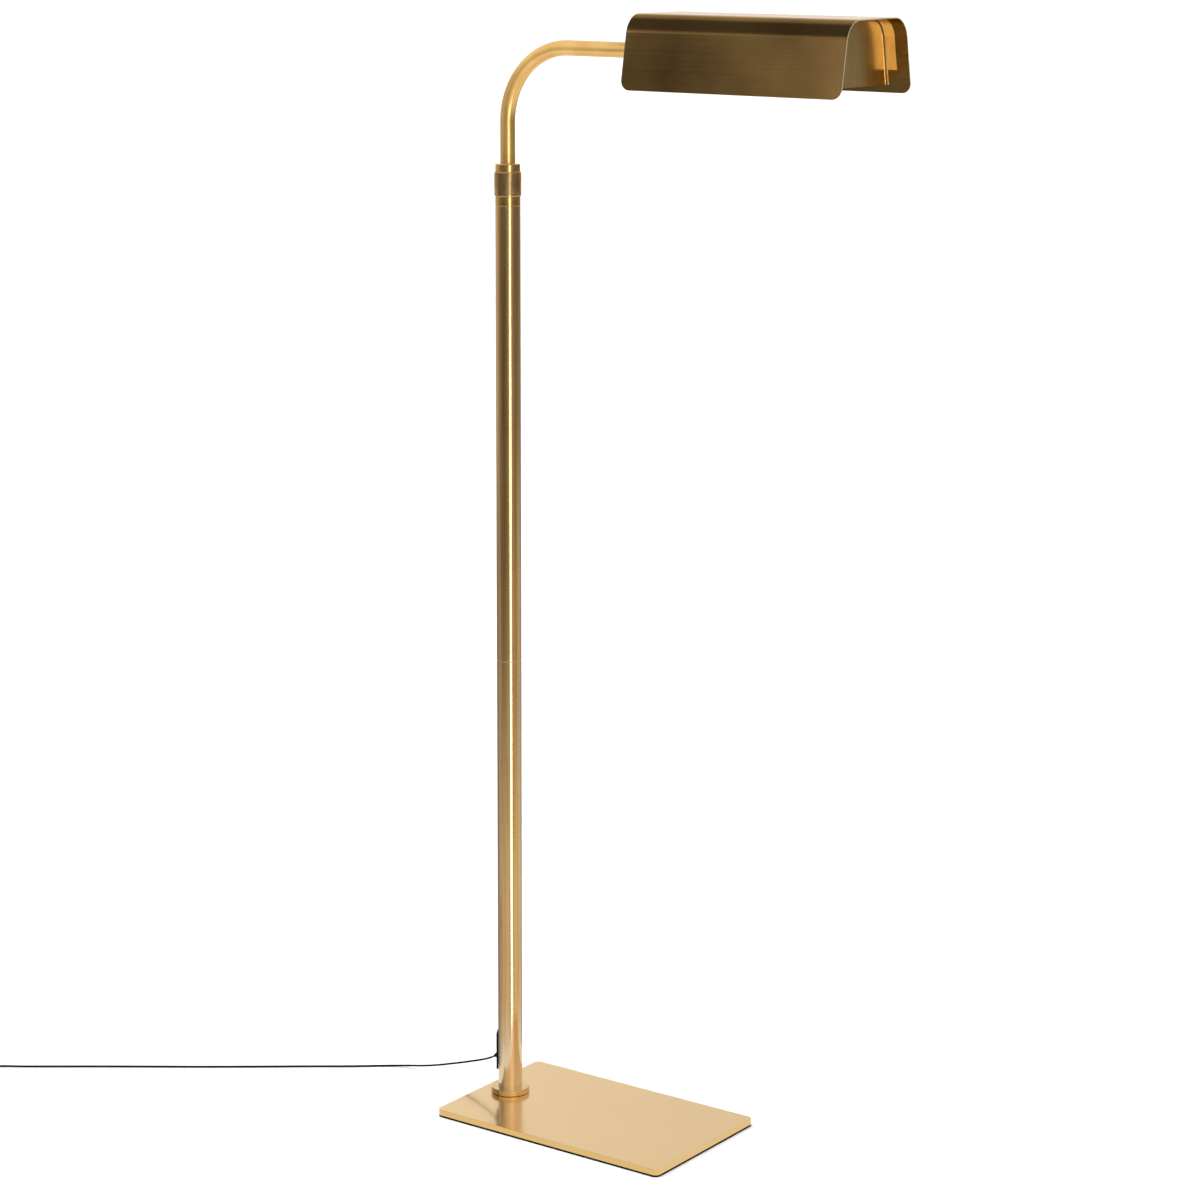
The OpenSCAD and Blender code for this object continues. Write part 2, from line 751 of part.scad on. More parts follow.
// Outline of the folded profile, set in by a distance and filled down to a height
module fold_outline(inset, low) {
    r = fold_r - inset;
    flat_r = r - fold_ease;
    top = [fold_x, fold_y + flat_r];
    side = [fold_x + flat_r * cos(side_slope), fold_y + flat_r * sin(side_slope)];
    foot = [side[0] + (side[1] - low) * tan(side_slope), low];
    for (m = [-1, 1]) translate([m * fold_x, fold_y]) circle(r, $fn = 32);
    polygon([[-top[0], top[1]], top, side, foot, [-foot[0], foot[1]], [-side[0], side[1]]]);
}

// Solid dish on the shade's profile: its floor's edge is rounded and its walls rise to a depth
module dish(inset, r, floor_z, depth, low) {
    slice_t = 0.01;
    bend = [
        for (i = [0 : end_bend_steps])
            let (a = 90 * i / end_bend_steps)
            [inset + r * (1 - sin(a)), floor_z + r * (1 - cos(a))]
    ];
    hull() for (s = concat(bend, [[inset, depth - slice_t]]))
        translate([0, 0, s[1]]) linear_extrude(slice_t) fold_outline(s[0], low);
}

// Dished end plate, drawn with its face at z = 0 and its flange towards +z
module end_plate() {
    inset = sheet_t + seat_gap;
    low = rim_y + end_lift;
    difference() {
        dish(inset, end_bend_r, 0, end_flange, low);
        dish(inset + end_t, end_bend_r - end_t, end_t, end_flange + over, low - over);
        translate([-shade_w / 2, low - over, end_bend_r]) cube([shade_w, flange_lift + over, end_flange]);
    }
}

module end_plate_inner() {
    color(brass) on_arm(inner_face_x) mirror([0, 0, 1]) difference() {
        end_plate();
        translate([0, 0, -over]) cylinder(r = swivel_r + run_gap, h = end_t + 2 * over);
    }
}

module end_plate_outer() {
    color(brass) on_arm(outer_plate_x - end_t) end_plate();
}

module led_tape() {
    color(black) on_arm(channel_x) translate([-channel_w / 2, channel_top, 0])
        cube([channel_w, tape_t, channel_l]);
}

// Channel that carries the light board under the top of the shade, open downwards
module led_channel() {
    color(alloy) on_arm(channel_x) linear_extrude(channel_l) difference() {
        translate([-channel_w / 2, channel_rim]) square([channel_w, channel_h]);
        translate([-channel_in_w / 2, channel_rim - over])
            square([channel_in_w, channel_h - channel_wall + over]);
    }
}

module led_board() {
    color("white") on_arm(channel_x + free_gap) translate([-board_w / 2, board_top - board_t, 0])
        cube([board_w, board_t, channel_l - 2 * free_gap]);
}

module led_chips() {
    pitch = channel_l / chip_count;
    color("#f2d264") for (i = [0 : chip_count - 1]) on_arm(channel_x + (i + 0.5) * pitch)
        translate([-chip_w / 2, board_top - board_t - chip_t, -chip_l / 2]) cube([chip_w, chip_t, chip_l]);
}

// Opal strip that snaps between the channel's walls, with its face below their rim
module led_cover() {
    face_w = channel_w;
    plug_w = channel_in_w - 2 * seat_gap;
    color("#f6f3ea") on_arm(channel_x) linear_extrude(channel_l) {
        translate([-face_w / 2, channel_rim - lip]) square([face_w, lip]);
        translate([-plug_w / 2, channel_rim - lip]) square([plug_w, cover_t + lip]);
    }
}

// Lead from the swivel's bore up to the light board
module head_lead() {
    rise = board_top - board_t - head_lead_r - free_gap;
    start = [swivel_end_x, 0, arm_axis_z];
    finish = [channel_x, 0, arm_axis_z + rise];
    path = [
        start, start + [2, 0, 0], start + [6, 0, rise * 0.08], finish - [4.5, 0, rise * 0.74],
        finish - [3.6, 0, rise * 0.5], finish - [3, 0, rise * 0.25], finish - [1.8, 0, rise * 0.06],
        finish + [0.5, 0, 0], finish + [2.5, 0, 0]
    ];
    color("#8c2f2a") swept(path, head_lead_r, 8);
}

module cord_lead() {
    color(black) swept(concat([spout_tip], smooth(lead_points, 2), [switch_start]), cord_r, 8);
}

module cord_link() {
    color(black) swept(link_points, cord_r, 8);
}

module cord_coil() {
    color(black) swept(coil_path, cord_r, coil_sides);
}

module cord_tail() {
    color(black) swept(tail_points, cord_r, 8);
}

// Strap round the bundle of turns
module cord_tie() {
    wide = coil_out_r - coil_in_r + cord_d + 2 * tie_gap;
    tall = coil_top - coil_z + cord_d + 2 * tie_gap;
    round_r = 2;
    color(black) translate(coil_centre) rotate([0, 0, tie_turn])
        translate([coil_mean_r, tie_w / 2, (coil_top - coil_z) / 2]) rotate([90, 0, 0])
            linear_extrude(tie_w) difference() {
                round_rect(wide + 2 * tie_t, tall + 2 * tie_t, round_r + tie_t);
                round_rect(wide, tall, round_r);
            }
}

// Lower half of the in-line switch, with a well for the push switch
module switch_base() {
    color(black) on_floor([switch_mid[0], switch_mid[1], floor_gap]) difference() {
        linear_extrude(switch_base_h) round_rect(switch_l, switch_w, switch_corner_r);
        translate([-module_l / 2 - free_gap, -module_w / 2 - free_gap, module_floor])
            cube([module_l + 2 * free_gap, module_w + 2 * free_gap, switch_base_h]);
    }
}

module switch_cover() {
    color(black) on_floor([switch_mid[0], switch_mid[1], cover_z]) difference() {
        eased_slab(switch_l, switch_w, switch_cover_h, switch_corner_r, switch_edge_r);
        translate([0, 0, -over]) cylinder(r = button_d / 2 + run_gap, h = switch_cover_h + 2 * over);
        translate([0, 0, -over]) cylinder(
            r = button_d / 2 + button_flange_w + free_gap,
            h = button_low + button_flange_t + free_gap - cover_z + over
        );
    }
}

// Latching switch in the base, with the stem that the button pushes
module push_switch() {
    module_z = floor_gap + module_floor;
    stem_top = button_low - button_travel - free_gap;
    color(alloy) on_floor([switch_mid[0], switch_mid[1], module_z]) {
        translate([-module_l / 2, -module_w / 2, 0])
            cube([module_l, module_w, cover_z - seat_gap - module_z]);
        cylinder(r = stem_r, h = stem_top - module_z);
    }
}

// Push button, with a flange that keeps it under the cover
module switch_button() {
    color(black) translate([switch_mid[0], switch_mid[1], button_low]) {
        rotate_extrude() eased_half(button_d / 2, button_depth, ease * 2);
        cylinder(r = button_d / 2 + button_flange_w, h = button_flange_t);
    }
}

// Plug-in supply at the far end of the cord
module adapter_case() {
    color(black) translate(case_start - adapter_l / 2 * along) rotate([0, 0, 135]) rotate([90, 0, 90])
        for (m = [0, 1]) mirror([0, 0, m])
            eased_slab(adapter_w, adapter_h, adapter_l / 2, adapter_corner_r, adapter_edge_r);
}

module adapter_boot() {
    color(black) translate(boot_start) rotate([0, 0, 135]) rotate([0, 90, 0])
        cylinder(r1 = cord_r + 0.5, r2 = boot_r, h = boot_l);
}

module adapter_pins() {
    color(steel) for (side = [-1, 1])
        translate(case_start - adapter_l * along + side * pin_pitch / 2 * across)
            rotate([0, 0, 135]) rotate([0, 90, 0]) rotate_extrude() polygon([
                [0, 0], [pin_d / 2, 0], [pin_d / 2, pin_l - 2 * ease], [pin_d / 2 - ease, pin_l], [0, pin_l]
            ]);
}

base_plate();
base_pad();
foot_flange();
foot_plug();
hold_down_bolt();
hold_down_washer();
lower_pole();
pole_coupler();
upper_pole();
top_ferrule();
collet();
cord_gland();
pole_lead();
lock_ring();
lock_cap();
guide_bush();
arm_tube();
arm_stop();
bush_clip();
arm_lead();
swivel_spigot();
swivel_washers();
spring_washer();
swivel_nut();
shade_shell();
end_plate_inner();
end_plate_outer();
led_tape();
led_channel();
led_board();
led_chips();
led_cover();
head_lead();
cord_lead();
cord_link();
cord_coil();
cord_tail();
cord_tie();
switch_base();
switch_cover();
push_switch();
switch_button();
adapter_case();
adapter_boot();
adapter_pins();
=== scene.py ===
import math
import bmesh
import bpy
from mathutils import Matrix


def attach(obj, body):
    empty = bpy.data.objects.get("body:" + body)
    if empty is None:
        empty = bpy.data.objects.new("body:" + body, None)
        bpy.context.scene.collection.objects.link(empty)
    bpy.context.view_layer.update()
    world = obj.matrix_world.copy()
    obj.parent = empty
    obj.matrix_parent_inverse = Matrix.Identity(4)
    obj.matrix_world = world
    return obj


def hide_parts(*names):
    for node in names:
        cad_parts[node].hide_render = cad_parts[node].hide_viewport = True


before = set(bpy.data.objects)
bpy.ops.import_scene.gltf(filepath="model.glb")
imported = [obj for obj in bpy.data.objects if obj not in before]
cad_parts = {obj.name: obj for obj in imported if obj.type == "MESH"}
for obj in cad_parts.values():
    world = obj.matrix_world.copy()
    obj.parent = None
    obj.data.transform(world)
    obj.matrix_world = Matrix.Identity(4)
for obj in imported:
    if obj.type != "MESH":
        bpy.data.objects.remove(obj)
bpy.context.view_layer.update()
mm = 0.001  # sizes below are in millimetres unless a note says otherwise
print("frame loaded:", len(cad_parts), "nodes")


# Camera and room

cameraView = {
    "lens": 96.607, "shiftX": 0.0092, "shiftY": -0.074, "tilt": 79.081, "turn": 35.988, "roll": 0.112,
    "place": (1.9395, -2.533, 1.2396), "reach": 200,
}

bpy.ops.object.select_all(action="DESELECT")
bpy.ops.object.camera_add(
    location=cameraView["place"],
    rotation=(math.radians(cameraView["tilt"]), 0, math.radians(cameraView["turn"])),
)
camera = bpy.context.object
camera.name = "photoCamera"
camera.rotation_euler.rotate_axis("Z", math.radians(cameraView["roll"]))
camera.data.lens = cameraView["lens"]
camera.data.shift_x = cameraView["shiftX"]
camera.data.shift_y = cameraView["shiftY"]
camera.data.clip_end = cameraView["reach"]
bpy.context.scene.camera = camera
bpy.context.scene.view_settings.view_transform = "Standard"


def addNode(tree, kind, **settings):
    node = tree.nodes.new(kind)
    for key, value in settings.items():
        setattr(node, key, value)
    return node


def setRamp(ramp, stops):
    # stops are (place, colour); the ramp starts with two of its own
    while len(ramp.elements) > 1:
        ramp.elements.remove(ramp.elements[-1])
    for count, (place, colour) in enumerate(stops):
        stop = ramp.elements[0] if count == 0 else ramp.elements.new(place)
        stop.position = place
        stop.color = (*colour, 1)


def grey(level):
    return (level, level, level)


# What the brass mirrors, in zones from the floor up. Each zone takes over between two heights, given as sines
# of the angle above level, and has its grey levels by bearing in degrees from +X.
lightStrip = [(-43, 0.5), (-40, 7.0), (-31, 7.0), (-28, 0.5)]
softLit = [(-95, 0.8), (-62, 0.9), (-36, 1.3), (-10, 0.85), (70, 0.85)]
room = [
    {"name": "floor", "bands": [(-180, 1.0), (180, 1.0)]},
    {"name": "under", "rise": (-0.46, -0.41), "bands": [
        (-180, 0.3), (-165, 0.5), (-150, 0.62), (-125, 0.7), (-95, 0.8), (-62, 0.9), *lightStrip, (-20, 0.85),
        (70, 0.85), (90, 0.5), (126, 0.28), (160, 0.25), (180, 0.3),
    ]},
    {"name": "low", "rise": (-0.31, -0.23), "bands": [
        (-180, 0.3), (-165, 0.36), (-150, 0.42), (-125, 0.18), (-95, 0.16), (-62, 0.22), *lightStrip, (0, 0.3),
        (20, 0.38), (45, 0.66), (75, 0.5), (95, 0.3), (126, 0.2), (160, 0.22), (180, 0.3),
    ]},
    {"name": "middle", "rise": (-0.2, -0.16), "bands": [
        (-180, 0.75), (-165, 0.6), (-150, 0.38), (-125, 0.19), (-100, 0.11), (-75, 0.14), *lightStrip,
        (0, 0.22), (40, 0.2), (60, 0.3), (90, 0.3), (126, 0.2), (160, 0.4), (180, 0.75),
    ]},
    {"name": "level", "rise": (-0.105, -0.07), "bands": [
        (-180, 0.5), (-150, 0.5), (-130, 0.3), (-100, 0.2), (-62, 0.3), (-47, 0.4), (-43, 1.7), (-24, 1.7),
        (-20, 0.4), (20, 0.18), (75, 0.13), (95, 0.9), (126, 1.2), (160, 1.0), (175, 0.6), (180, 0.5),
    ]},
    {"name": "high", "rise": (0.1, 0.17), "bands": [
        (-180, 0.5), (-150, 0.3), (-130, 0.05), (-124.5, 0.05), (-121, 0.9), (-116, 1.3), (-108, 0.8), *softLit,
        (90, 0.9), (123, 0.86), (126, 0.92), (129, 1.0), (165, 0.85), (180, 0.5),
    ]},
    {"name": "upper", "rise": (0.29, 0.33), "bands": [
        (-180, 0.5), (-150, 0.45), (-126, 0.4), (-120.5, 0.6), (-108, 0.5), *softLit, (90, 0.9), (123, 0.86),
        (126, 0.92), (129, 1.0), (165, 0.85), (180, 0.5),
    ]},
    {"name": "zenith", "rise": (0.41, 0.52), "bands": [
        (-180, 0.11), (-128, 0.11), (-100, 0.3), (-60, 0.5), (30, 0.55), (120, 0.6), (150, 0.35), (166, 0.11),
        (180, 0.11),
    ]},
]


def paintRoom():
    world = bpy.data.worlds.new("softRoom")
    bpy.context.scene.world = world
    world.use_nodes = True
    tree = world.node_tree
    coords = addNode(tree, "ShaderNodeTexCoord")
    split = addNode(tree, "ShaderNodeSeparateXYZ")
    tree.links.new(coords.outputs["Generated"], split.inputs[0])
    bearing = addNode(tree, "ShaderNodeMath", operation="ARCTAN2")
    tree.links.new(split.outputs["Y"], bearing.inputs[0])
    tree.links.new(split.outputs["X"], bearing.inputs[1])
    share = addNode(tree, "ShaderNodeMapRange")
    share.inputs["From Min"].default_value = -math.pi
    share.inputs["From Max"].default_value = math.pi
    tree.links.new(bearing.outputs[0], share.inputs["Value"])
    below = None
    for zone in room:
        bands = addNode(tree, "ShaderNodeValToRGB")
        setRamp(bands.color_ramp, [((turn + 180) / 360, grey(level)) for turn, level in zone["bands"]])
        tree.links.new(share.outputs[0], bands.inputs[0])
        colour = bands.outputs[0]
        if below is not None:
            rise = addNode(tree, "ShaderNodeMapRange", interpolation_type="SMOOTHSTEP")
            rise.inputs["From Min"].default_value, rise.inputs["From Max"].default_value = zone["rise"]
            tree.links.new(split.outputs["Z"], rise.inputs["Value"])
            join = addNode(tree, "ShaderNodeMix", data_type="RGBA")
            tree.links.new(rise.outputs[0], join.inputs["Factor"])
            tree.links.new(below, join.inputs["A"])
            tree.links.new(colour, join.inputs["B"])
            colour = join.outputs["Result"]
        below = colour
    tree.links.new(below, tree.nodes["Background"].inputs["Color"])


floorSize = 160  # metres
surroundRadius = 120  # metres
daylight = {"strength": 3.0, "spread": 75, "lean": (16, -14)}  # degrees
# Small reflector cards that only the brass sees, in metres and degrees: the lit floor that the plate's edges
# mirror, two by the arm, and one below the open end of the shade
cards = [
    {"name": "floorCard", "place": (0.11, 0, -0.0005), "size": (0.42, 0.32), "turn": (0, 0, 0),
     "strength": 0.86},
    {"name": "armCard", "place": (-0.175, -0.035, 1.16), "size": (0.55, 0.27), "turn": (0, 0, 0),
     "strength": 0.95},
    {"name": "frontCard", "place": (-0.285, -0.332, 1.15), "size": (0.39, 0.3), "turn": (90, 0, 0),
     "strength": 0.75},
    {"name": "endCard", "place": (0.553, -0.213, 0.98), "size": (0.16, 0.16), "turn": (70, 0, 32),
     "strength": 0.8},
]


def glowPaint(name, strength, sheen=0.5):
    paint = bpy.data.materials.new(name)
    paint.use_nodes = True
    lit = paint.node_tree.nodes["Principled BSDF"]
    lit.inputs["Base Color"].default_value = (0, 0, 0, 1)
    lit.inputs["Specular IOR Level"].default_value = sheen
    lit.inputs["Emission Color"].default_value = (1, 1, 1, 1)
    lit.inputs["Emission Strength"].default_value = strength
    return paint


def layFloor():
    bpy.ops.object.select_all(action="DESELECT")
    bpy.ops.mesh.primitive_plane_add(size=floorSize, location=(0, 0, 0))
    floor = bpy.context.object
    floor.name = "paleFloor"
    paint = bpy.data.materials.new("palePaint")
    paint.use_nodes = True
    surface = paint.node_tree.nodes["Principled BSDF"]
    surface.inputs["Base Color"].default_value = (0.93, 0.93, 0.93, 1)
    surface.inputs["Roughness"].default_value = 0.9
    surface.inputs["Specular IOR Level"].default_value = 0
    # clear from underneath, so that views from below still show the lamp
    tree = paint.node_tree
    side = addNode(tree, "ShaderNodeNewGeometry")
    clear = addNode(tree, "ShaderNodeBsdfTransparent")
    join = addNode(tree, "ShaderNodeMixShader")
    tree.links.new(side.outputs["Backfacing"], join.inputs[0])
    tree.links.new(surface.outputs[0], join.inputs[1])
    tree.links.new(clear.outputs[0], join.inputs[2])
    tree.links.new(join.outputs[0], tree.nodes["Material Output"].inputs["Surface"])
    floor.data.materials.append(paint)
    floor.visible_glossy = False  # brass mirrors the room's bands instead


def hangSurround():
    # a plain white surround behind the lamp, which lights nothing
    bpy.ops.object.select_all(action="DESELECT")
    bpy.ops.mesh.primitive_uv_sphere_add(segments=48, ring_count=24, radius=surroundRadius, location=(0, 0, 0))
    surround = bpy.context.object
    surround.name = "whiteSurround"
    surround.data.materials.append(glowPaint("whiteSurround", 1, sheen=0))
    surround.visible_diffuse = False
    surround.visible_glossy = False
    surround.visible_shadow = False


def hangCards():
    for card in cards:
        bpy.ops.object.select_all(action="DESELECT")
        bpy.ops.mesh.primitive_plane_add(size=1, location=card["place"],
                                         rotation=[math.radians(angle) for angle in card["turn"]])
        board = bpy.context.object
        board.name = card["name"]
        board.scale = (*card["size"], 1)
        board.data.materials.append(glowPaint(card["name"], card["strength"]))
        board.visible_camera = False
        board.visible_diffuse = False
        board.visible_shadow = False


def hangLight():
    bpy.ops.object.light_add(type="SUN", location=(0, 0, 3),
                             rotation=(math.radians(daylight["lean"][0]), math.radians(daylight["lean"][1]), 0))
    sun = bpy.context.object
    sun.name = "softDaylight"
    sun.data.energy = daylight["strength"]
    sun.data.angle = math.radians(daylight["spread"])
    sun.visible_glossy = False


paintRoom()
layFloor()
hangSurround()
hangCards()
hangLight()
print("camera and room ready")


# Cord

cordRoute = {
    "diameter": 2,
    "length": 1.715,  # metres
    "exit": (-19.94, 0, 41.79),
    "lead": [
        (-21.63, 0, 40.73), (-28, 0, 37.4), (-39, 0, 33), (-52, 0, 28.5), (-66, 0, 23.8), (-80, 1, 19.2),
        (-94, 2, 14.6), (-108, 3, 10.4), (-122, 4, 6.6), (-136, 4, 3.6), (-150, 0, 1.7), (-165, -10, 1.2),
        (-190, -30, 1.2), (-233, -62, 1.2), (-275, -94, 1.2), (-318, -126, 1.2), (-361, -157, 1.2),
        (-400, -185, 1.2), (-445, -218, 1.2), (-475, -240, 1.2), (-490, -250, 1.2), (-499, -257, 1.2),
        (-506, -264, 1.4), (-510, -272, 2), (-510, -281, 3.2), (-505, -288, 4.5), (-499.41, -293.59, 5),
    ],
    "switch": [(-498, -295, 5), (-478.91, -314.09, 5), (-459.82, -333.18, 5)],
    "link": [(-458.4, -334.6, 5), (-454.87, -338.13, 3.48), (-451.33, -341.67, 1.95)],
    "coilCentre": (-461.32, -354.48, 1.95),
    "coilOut": 16.125,
    "coilIn": 7.875,
    "coilStart": 45,  # degrees
    "layers": 4,
    "layerTurns": 3,
    "climbTurns": 0.5,
    "layerPitch": 2.7,
    "turnSteps": 24,
    "tail": [
        (-474.14, -364.47, 10.05), (-475.55, -363.06, 10.05), (-481.9, -356.7, 11.58), (-486.87, -351.75, 13.1),
        (-488.28, -350.33, 13.1),
    ],
}


def coilPoints():
    stage = cordRoute["layerTurns"] + cordRoute["climbTurns"]
    turns = cordRoute["layers"] * stage - cordRoute["climbTurns"]
    out, inside = cordRoute["coilOut"], cordRoute["coilIn"]
    points = []
    for step in range(int(turns * cordRoute["turnSteps"]) + 1):
        turn = step / cordRoute["turnSteps"]
        layer = min(int(turn // stage), cordRoute["layers"] - 1)
        wound = min((turn - layer * stage) / cordRoute["layerTurns"], 1)
        climbed = max((turn - layer * stage - cordRoute["layerTurns"]) / cordRoute["climbTurns"], 0)
        radius = out - wound * (out - inside) if layer % 2 == 0 else inside + wound * (out - inside)
        angle = math.radians(cordRoute["coilStart"] - 360 * turn)
        x, y, z = cordRoute["coilCentre"]
        rise = (layer + climbed) * cordRoute["layerPitch"]
        points.append((x + radius * math.cos(angle), y + radius * math.sin(angle), z + rise))
    return points


def layCord():
    points = [cordRoute["exit"]] + cordRoute["lead"] + cordRoute["switch"] + cordRoute["link"] + coilPoints()
    points = points + cordRoute["tail"]
    line = bpy.data.curves.new("cord", "CURVE")
    line.dimensions = "3D"
    line.bevel_depth = 1  # the knots' own radius gives the thickness
    line.bevel_resolution = 3
    line.use_fill_caps = True
    line.resolution_u = 4
    spline = line.splines.new("BEZIER")
    spline.bezier_points.add(len(points) - 1)
    for knot, point in zip(spline.bezier_points, points):
        knot.co = [value * mm for value in point]
        knot.radius = cordRoute["diameter"] / 2 * mm
        knot.handle_left_type = knot.handle_right_type = "AUTO"
    cord = bpy.data.objects.new("cord", line)
    bpy.context.scene.collection.objects.link(cord)
    return cord


cord = layCord()
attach(cord, "stand")
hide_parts("cord_lead", "cord_link", "cord_coil", "cord_tail")
print("cord laid")


# Finishes

def brassFinish(name, light, dark, rough, grain, cloud=14, lineShare=0.5, grainDepth=0.000003, roughSpread=0.06,
                stops=(0.36, 0.62), cloudPlace=(0, 0, 0), lacquer=0.0, edgeTint=(1, 1, 1), paintedPaleFoot=None):
    # grain: lines per metre in x, y and z, so the smallest number is the way of polishing
    paint = bpy.data.materials.new(name)
    paint.use_nodes = True
    tree = paint.node_tree
    surface = tree.nodes["Principled BSDF"]
    surface.inputs["Metallic"].default_value = 1
    surface.inputs["Coat Weight"].default_value = lacquer
    surface.inputs["Coat Roughness"].default_value = 0.09
    surface.inputs["Specular Tint"].default_value = (*edgeTint, 1)
    coords = addNode(tree, "ShaderNodeTexCoord")
    stretch = addNode(tree, "ShaderNodeMapping")
    stretch.inputs["Scale"].default_value = grain
    tree.links.new(coords.outputs["Object"], stretch.inputs["Vector"])
    lines = addNode(tree, "ShaderNodeTexNoise")
    lines.inputs["Scale"].default_value = 1
    lines.inputs["Detail"].default_value = 4
    lines.inputs["Roughness"].default_value = 0.65
    tree.links.new(stretch.outputs["Vector"], lines.inputs["Vector"])
    drift = addNode(tree, "ShaderNodeMapping")
    drift.inputs["Location"].default_value = cloudPlace
    tree.links.new(coords.outputs["Object"], drift.inputs["Vector"])
    patches = addNode(tree, "ShaderNodeTexNoise")
    patches.inputs["Scale"].default_value = cloud
    patches.inputs["Detail"].default_value = 5
    tree.links.new(drift.outputs["Vector"], patches.inputs["Vector"])
    blend = addNode(tree, "ShaderNodeMix", data_type="FLOAT")
    blend.inputs["Factor"].default_value = 1 - lineShare
    tree.links.new(lines.outputs["Fac"], blend.inputs["A"])
    tree.links.new(patches.outputs["Fac"], blend.inputs["B"])
    tone = addNode(tree, "ShaderNodeValToRGB")
    setRamp(tone.color_ramp, [(stops[0], dark), (stops[1], light)])
    tree.links.new(blend.outputs["Result"], tone.inputs[0])
    colour = tone.outputs[0]
    # painted light: the colour turns pale towards the foot over the given heights
    if paintedPaleFoot is not None:
        split = addNode(tree, "ShaderNodeSeparateXYZ")
        tree.links.new(coords.outputs["Object"], split.inputs[0])
        rise = addNode(tree, "ShaderNodeMapRange", interpolation_type="SMOOTHSTEP")
        rise.inputs["From Min"].default_value, rise.inputs["From Max"].default_value = paintedPaleFoot["heights"]
        tree.links.new(split.outputs["Z"], rise.inputs["Value"])
        join = addNode(tree, "ShaderNodeMix", data_type="RGBA")
        join.inputs["A"].default_value = (*paintedPaleFoot["colour"], 1)
        tree.links.new(rise.outputs[0], join.inputs["Factor"])
        tree.links.new(colour, join.inputs["B"])
        colour = join.outputs["Result"]
    tree.links.new(colour, surface.inputs["Base Color"])
    gloss = addNode(tree, "ShaderNodeMapRange")
    gloss.inputs["From Min"].default_value = 0.3
    gloss.inputs["From Max"].default_value = 0.7
    gloss.inputs["To Min"].default_value = max(rough - roughSpread / 2, 0.03)
    gloss.inputs["To Max"].default_value = rough + roughSpread / 2
    tree.links.new(blend.outputs["Result"], gloss.inputs["Value"])
    tree.links.new(gloss.outputs[0], surface.inputs["Roughness"])
    relief = addNode(tree, "ShaderNodeBump")
    relief.inputs["Strength"].default_value = 0.25
    relief.inputs["Distance"].default_value = grainDepth
    tree.links.new(lines.outputs["Fac"], relief.inputs["Height"])
    tree.links.new(relief.outputs["Normal"], surface.inputs["Normal"])
    return paint


def mouldedFinish(name, colour, rough, grainScale, grainDepth, metallic=0.0, spread=0.12, roughSpread=0.16,
                  sheen=0.5):
    # fine moulded or drawn skin: a little colour and gloss change with a pebbled relief
    paint = bpy.data.materials.new(name)
    paint.use_nodes = True
    tree = paint.node_tree
    surface = tree.nodes["Principled BSDF"]
    surface.inputs["Metallic"].default_value = metallic
    surface.inputs["Specular IOR Level"].default_value = sheen
    coords = addNode(tree, "ShaderNodeTexCoord")
    skin = addNode(tree, "ShaderNodeTexNoise")
    skin.inputs["Scale"].default_value = grainScale
    skin.inputs["Detail"].default_value = 3
    tree.links.new(coords.outputs["Object"], skin.inputs["Vector"])
    tone = addNode(tree, "ShaderNodeValToRGB")
    setRamp(tone.color_ramp, [(0.3, [value * (1 - spread) for value in colour]), (0.7, colour)])
    tree.links.new(skin.outputs["Fac"], tone.inputs[0])
    tree.links.new(tone.outputs[0], surface.inputs["Base Color"])
    gloss = addNode(tree, "ShaderNodeMapRange")
    gloss.inputs["To Min"].default_value = max(rough - roughSpread / 2, 0.05)
    gloss.inputs["To Max"].default_value = rough + roughSpread / 2
    tree.links.new(skin.outputs["Fac"], gloss.inputs["Value"])
    tree.links.new(gloss.outputs[0], surface.inputs["Roughness"])
    relief = addNode(tree, "ShaderNodeBump")
    relief.inputs["Strength"].default_value = 0.4
    relief.inputs["Distance"].default_value = grainDepth
    tree.links.new(skin.outputs["Fac"], relief.inputs["Height"])
    tree.links.new(relief.outputs["Normal"], surface.inputs["Normal"])
    return paint
